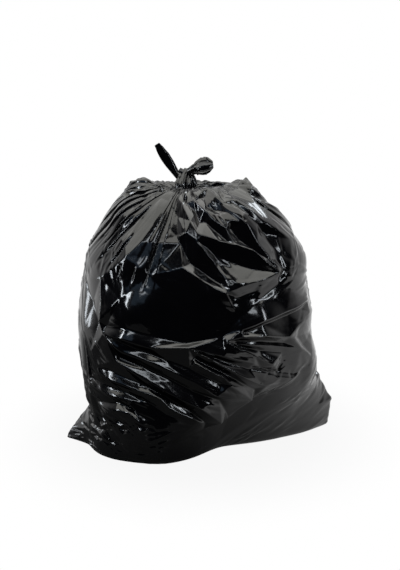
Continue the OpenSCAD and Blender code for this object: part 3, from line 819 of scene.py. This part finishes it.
def smooth_path(points, count):
    """A curve through the points, evenly spread."""
    points = np.array(points, float)
    padded = np.concatenate([[2 * points[0] - points[1]], points, [2 * points[-1] - points[-2]]])
    fine = []
    for k in range(1, len(padded) - 2):
        p0, p1, p2, p3 = padded[k - 1 : k + 3]
        for u in np.linspace(0, 1, path_steps, endpoint=False):
            fine.append(
                0.5 * (2 * p1 + (p2 - p0) * u + (2 * p0 - 5 * p1 + 4 * p2 - p3) * u * u
                       + (3 * p1 - p0 - 3 * p2 + p3) * u**3)
            )
    fine = np.array(fine + [points[-1]])
    length = np.concatenate([[0], np.cumsum(np.linalg.norm(np.diff(fine, axis=0), axis=1))])
    where = np.linspace(0, length[-1], count)
    return np.stack([np.interp(where, length, fine[:, k]) for k in range(3)], -1)


def bunch(path, half_width, half_thick, pleats, depth, seed, out_way=(0, -1, 0)):
    """Rings of a bunch of pleated film along a path. The sizes are lists along the path."""
    random = np.random.default_rng(seed)
    count, sides = len(path), bunch_sides
    forward = np.gradient(path, axis=0)
    forward /= np.linalg.norm(forward, axis=1, keepdims=True)
    across = np.cross(forward, np.array(out_way, float))
    across /= np.linalg.norm(across, axis=1, keepdims=True)
    outward = np.cross(across, forward)
    angle = np.arange(sides) * 2 * math.pi / sides
    s = np.linspace(0, 1, count)
    step = 2 * math.pi / pleats
    lines = []
    for k in range(pleats):
        place = (k + random.uniform(-0.25, 0.25)) * 2 * math.pi / pleats
        drift = random.uniform(-0.5, 0.5)
        lines.append([place, -random.uniform(0.5, 1.0), drift])
        lines.append([place + step * random.uniform(0.3, 0.7), random.uniform(0.1, 0.6), drift])
    lines = np.array(lines)
    shape = np.zeros((count, sides))
    for row in range(count):
        places = lines[:, 0] + lines[:, 2] * s[row]
        order = np.argsort(places)
        shape[row] = np.interp(angle, places[order], lines[order, 1], period=2 * math.pi)
    folds = random.uniform([0, 0, 0.04, -1], [1, 2 * math.pi, 0.12, 1], (bunch_folds, 4))
    for place, turn, size, height in folds:
        away = np.abs((angle[None] - turn + math.pi) % (2 * math.pi) - math.pi)
        roof = 1 - np.abs(s[:, None] - place) / size - away / bunch_fold_turn
        shape += height * bunch_fold_height * np.clip(roof, 0, 1)
    width = np.interp(s, np.linspace(0, 1, len(half_width)), half_width)[:, None]
    thick = np.interp(s, np.linspace(0, 1, len(half_thick)), half_thick)[:, None]
    swell = shape * depth * np.minimum(width, thick * 1.6)
    return (
        path[:, None]
        + across[:, None] * (np.cos(angle) * (width + swell))[..., None]
        + outward[:, None] * (np.sin(angle) * (thick + swell))[..., None]
    )


def make_bunches(name, nets, material):
    """One piece from several nets, each closed at its ends."""
    points, triangles, start = [], [], 0
    for rings in nets:
        ends = [rings[0].mean(axis=0, keepdims=True), rings[-1].mean(axis=0, keepdims=True)]
        count, sides = rings.shape[0] * rings.shape[1], rings.shape[1]
        k = np.arange(sides)
        following = (k + 1) % sides
        points += [rings.reshape(-1, 3)] + ends
        last = count - sides
        triangles += [
            net_triangles(rings).reshape(-1, 3) + start,
            np.stack([following, k, np.full(sides, count)], -1) + start,
            np.stack([last + k, last + following, np.full(sides, count + 1)], -1) + start,
        ]
        start += count + 2
    points, triangles = np.concatenate(points), np.concatenate(triangles)
    piece = make_piece(name, points, triangles, point_normals(points, triangles), material)
    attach(piece, "root")


front_path = knot_middle + smooth_path(
    [[0.002, -0.022, -0.036], [-0.004, -0.024, -0.020], [-0.005, -0.017, -0.001],
     [0.001, -0.003, 0.014], [0.008, 0.006, 0.024]], knot_rings)
back_path = knot_middle + smooth_path(
    [[0.012, -0.006, -0.030], [0.016, -0.006, -0.010], [0.008, 0.000, 0.008],
     [-0.008, 0.001, 0.018], [-0.016, 0.001, 0.024]], knot_rings)
side_path = knot_middle + smooth_path(
    [[-0.010, -0.010, -0.026], [0.008, -0.014, -0.022], [0.022, -0.006, -0.012],
     [0.036, 0.002, -0.010], [0.046, 0.006, -0.020]], knot_rings)
knot_film = film_material("Knot film", crinkle_size=160.0, haze=0.8, bump=0.5)
make_bunches("half_knot", [
    bunch(front_path, [0.010, 0.015, 0.0175, 0.015, 0.011], [0.006, 0.009, 0.010, 0.009, 0.007],
          11, 0.26, 21, (0, -0.80, 0.60)),
    bunch(back_path, [0.009, 0.012, 0.013, 0.012, 0.009], [0.008, 0.010, 0.010, 0.009, 0.006],
          9, 0.26, 22, (0, -0.80, 0.60)),
    bunch(side_path, [0.006, 0.008, 0.010, 0.009, 0.005], [0.005, 0.006, 0.006, 0.005, 0.003],
          6, 0.24, 23, (0, -0.3, 1)),
], knot_film)

# The tails
# The two ends of the tie are flattened bunches of the same film. The left one is a slim
# leaf, and the right one opens into a broad, rounded, crumpled leaf.

tail_rings = 110
tail_film = film_material("Tail film", crinkle_size=120.0, haze=0.6, bump=0.45)
left_path = smooth_path(
    [[-0.049, 0.000, 0.624], [-0.063, -0.002, 0.647], [-0.082, -0.004, 0.676],
     [-0.098, -0.006, 0.701]], tail_rings)
make_bunches("left_tail", [bunch(
    left_path, [0.006, 0.0080, 0.0098, 0.0112, 0.0117, 0.0110, 0.0092, 0.0062],
    [0.006, 0.0055, 0.0050, 0.0045, 0.0040, 0.0040, 0.0030, 0.0015], 7, 0.15, 31)], tail_film)
right_path = smooth_path(
    [[-0.026, -0.003, 0.634], [-0.014, -0.006, 0.643], [0.004, -0.010, 0.651],
     [0.030, -0.012, 0.656]], tail_rings)
make_bunches("right_tail", [bunch(
    right_path, [0.0110, 0.0115, 0.0150, 0.0215, 0.0250, 0.0245, 0.0200, 0.0090],
    [0.0080, 0.0070, 0.0060, 0.0060, 0.0070, 0.0070, 0.0060, 0.0030], 6, 0.42, 35,
    (-0.15, -0.70, 0.70))], tail_film)

# The studio floor
# A white sheet that ends just in front of the picture. The camera sees it white farther off,
# and a little grey close round the sack, a painted shadow in which the sack's real soft shadow
# shows only faintly. The gloss of the film sees it dark in front of the left side, a painted
# shade that stands in for a dim room, and white farther off.

floor_half = 6.0
floor_front = -0.80

# How white the floor looks: a place, the distance from it up to which the floor is least
# white, the distance from which it is fully white, and its least whiteness. The less white
# floor near each place is painted shade: for the camera round the sack, and for the gloss in
# front of the left side.
# Camera: a painted shadow, the floor a little grey close round the sack
camera_white_and_painted_shadow = (0, 0, 0), 0.20, 0.55, 0.92
# Gloss: painted shade, the floor seen dark in front of the left side as if the room there were dim
gloss_white_and_painted_shade = (-0.75, -0.45, 0), 0.75, 1.35, 0.02
floor_mesh = bpy.data.meshes.new("studio_floor")
floor_mesh.from_pydata(
    [(-floor_half, floor_front, 0), (floor_half, floor_front, 0), (floor_half, floor_half, 0),
     (-floor_half, floor_half, 0)], [], [(0, 1, 2, 3)])
floor = bpy.data.objects.new("studio_floor", floor_mesh)
bpy.context.scene.collection.objects.link(floor)
floor_paint = bpy.data.materials.new("Floor paint")
floor_paint.use_nodes = True
nodes, links = floor_paint.node_tree.nodes, floor_paint.node_tree.links
paint = nodes["Principled BSDF"]
# The paint is near black, so where the glow is taken away near a place the floor shows as painted
# shade.
paint.inputs["Base Color"].default_value = (0.05, 0.05, 0.05, 1)
paint.inputs["Roughness"].default_value = 0.9
paint.inputs["Specular IOR Level"].default_value = 0.0
glow = nodes.new("ShaderNodeEmission")
glow.inputs["Strength"].default_value = 1.0
path_kind = nodes.new("ShaderNodeLightPath")
spot = nodes.new("ShaderNodeNewGeometry")


def distance_from(place):
    """How far the spot that is shaded lies from a place."""
    apart = nodes.new("ShaderNodeVectorMath")
    apart.operation = "DISTANCE"
    apart.inputs[1].default_value = place
    links.new(spot.outputs["Position"], apart.inputs[0])
    return apart.outputs["Value"]


def white_by_distance(place, near, far, near_white, kind):
    """How white a kind of ray sees the floor: more with the distance from a place, and less near
    it, where the floor is painted shade.
    """
    whiteness = nodes.new("ShaderNodeMapRange")
    whiteness.interpolation_type = "SMOOTHSTEP"
    whiteness.inputs["From Min"].default_value = near
    whiteness.inputs["From Max"].default_value = far
    whiteness.inputs["To Min"].default_value = near_white
    whiteness.inputs["To Max"].default_value = 1.0
    links.new(distance_from(place), whiteness.inputs["Value"])
    part = nodes.new("ShaderNodeMath")
    part.operation = "MULTIPLY"
    links.new(whiteness.outputs["Result"], part.inputs[0])
    links.new(path_kind.outputs[kind], part.inputs[1])
    return part.outputs[0]


seen = white_by_distance(*camera_white_and_painted_shadow, "Is Camera Ray")
for look, kind in ((camera_white_and_painted_shadow, "Is Transmission Ray"), (gloss_white_and_painted_shade, "Is Glossy Ray")):
    more = nodes.new("ShaderNodeMath")
    more.operation = "MAXIMUM"
    links.new(seen, more.inputs[0])
    links.new(white_by_distance(*look, kind), more.inputs[1])
    seen = more.outputs[0]
blend = nodes.new("ShaderNodeMixShader")
links.new(seen, blend.inputs["Fac"])
links.new(paint.outputs["BSDF"], blend.inputs[1])
links.new(glow.outputs["Emission"], blend.inputs[2])
links.new(blend.outputs["Shader"], nodes["Material Output"].inputs["Surface"])
floor_mesh.materials.append(floor_paint)

# The room
# The white background stands behind and beside the sack, and the room in front of it,
# where the camera is, is dim.

world = bpy.data.worlds.new("Studio")
bpy.context.scene.world = world
world.use_nodes = True
nodes, links = world.node_tree.nodes, world.node_tree.links
background = nodes["Background"]
background.inputs["Color"].default_value = (1, 1, 1, 1)
way = nodes.new("ShaderNodeTexCoord")
split = nodes.new("ShaderNodeSeparateXYZ")
links.new(way.outputs["Generated"], split.inputs["Vector"])
behind = nodes.new("ShaderNodeMapRange")
behind.interpolation_type = "SMOOTHSTEP"
behind.inputs["From Min"].default_value = -0.35
behind.inputs["From Max"].default_value = 0.35
behind.inputs["To Min"].default_value = 0.01
behind.inputs["To Max"].default_value = 1.0
links.new(split.outputs["Y"], behind.inputs["Value"])
path_kind = nodes.new("ShaderNodeLightPath")
white = nodes.new("ShaderNodeMath")
white.operation = "MAXIMUM"
links.new(path_kind.outputs["Is Camera Ray"], white.inputs[0])
links.new(behind.outputs["Result"], white.inputs[1])
links.new(white.outputs[0], background.inputs["Strength"])

# Lamps
# A wide soft lamp hangs overhead and a cool window is at the left. Three narrow strips draw
# thin bright lines along the creases, and a small lamp at each side picks out the rim.


def lamp(name, place, target, size_x, size_y, radiance, colour):
    """A flat lamp turned to face a target."""
    light = bpy.data.lights.new(name, "AREA")
    light.shape = "RECTANGLE"
    light.size, light.size_y = size_x, size_y
    light.energy = radiance * math.pi * size_x * size_y
    light.color = colour
    holder = bpy.data.objects.new(name, light)
    bpy.context.scene.collection.objects.link(holder)
    holder.location = place
    holder.rotation_euler = (Vector(target) - Vector(place)).to_track_quat("-Z", "Y").to_euler()


middle = (0, 0, 0.35)
warm_white = (1.0, 1.0, 0.94)
window_blue = (0.50, 0.72, 1.0)
cool_white = (0.88, 0.94, 1.0)
lamp("Overhead", (-0.1, -0.12, 2.3), (-0.1, -0.11, 0.0), 4.0, 2.2, 2.7, warm_white)
lamp("Window", (-0.9, -2.4, 2.1), middle, 1.6, 0.8, 0.45, window_blue)
lamp("Strip left", (-1.5, -1.3, 1.3), middle, 0.14, 1.1, 24.0, cool_white)
lamp("Strip right", (1.5, -1.1, 1.1), middle, 0.10, 1.1, 14.0, cool_white)
lamp("Strip above", (0.3, -1.9, 2.1), middle, 2.0, 0.18, 8.0, cool_white)
lamp("Rim left", (-2.25, 0.30, 0.55), middle, 0.20, 0.40, 11.0, cool_white)
lamp("Rim right", (1.7, 1.2, 2.0), (0.1, -0.1, 0.5), 0.40, 0.40, 12.0, cool_white)

# The camera
# It looks down a little on the front, from where the photograph was taken.

camera_distance = 2.6
camera_elevation = math.radians(17)
aim_height = 0.300
metres_per_pixel = 0.00238
picture_height = 570
floor_row = 433
sensor_width = 36
camera_data = bpy.data.cameras.new("Camera")
camera_data.sensor_width = sensor_width
camera_data.lens = sensor_width / picture_height * camera_distance / metres_per_pixel
aim_row = floor_row - aim_height * math.cos(camera_elevation) / metres_per_pixel
camera_data.shift_y = (aim_row - picture_height / 2) / picture_height
camera = bpy.data.objects.new("Camera", camera_data)
bpy.context.scene.collection.objects.link(camera)
camera.location = (
    0,
    -camera_distance * math.cos(camera_elevation),
    aim_height + camera_distance * math.sin(camera_elevation),
)
camera.rotation_euler = (math.pi / 2 - camera_elevation, 0, 0)
bpy.context.scene.camera = camera
bpy.context.scene.view_settings.view_transform = "Standard"
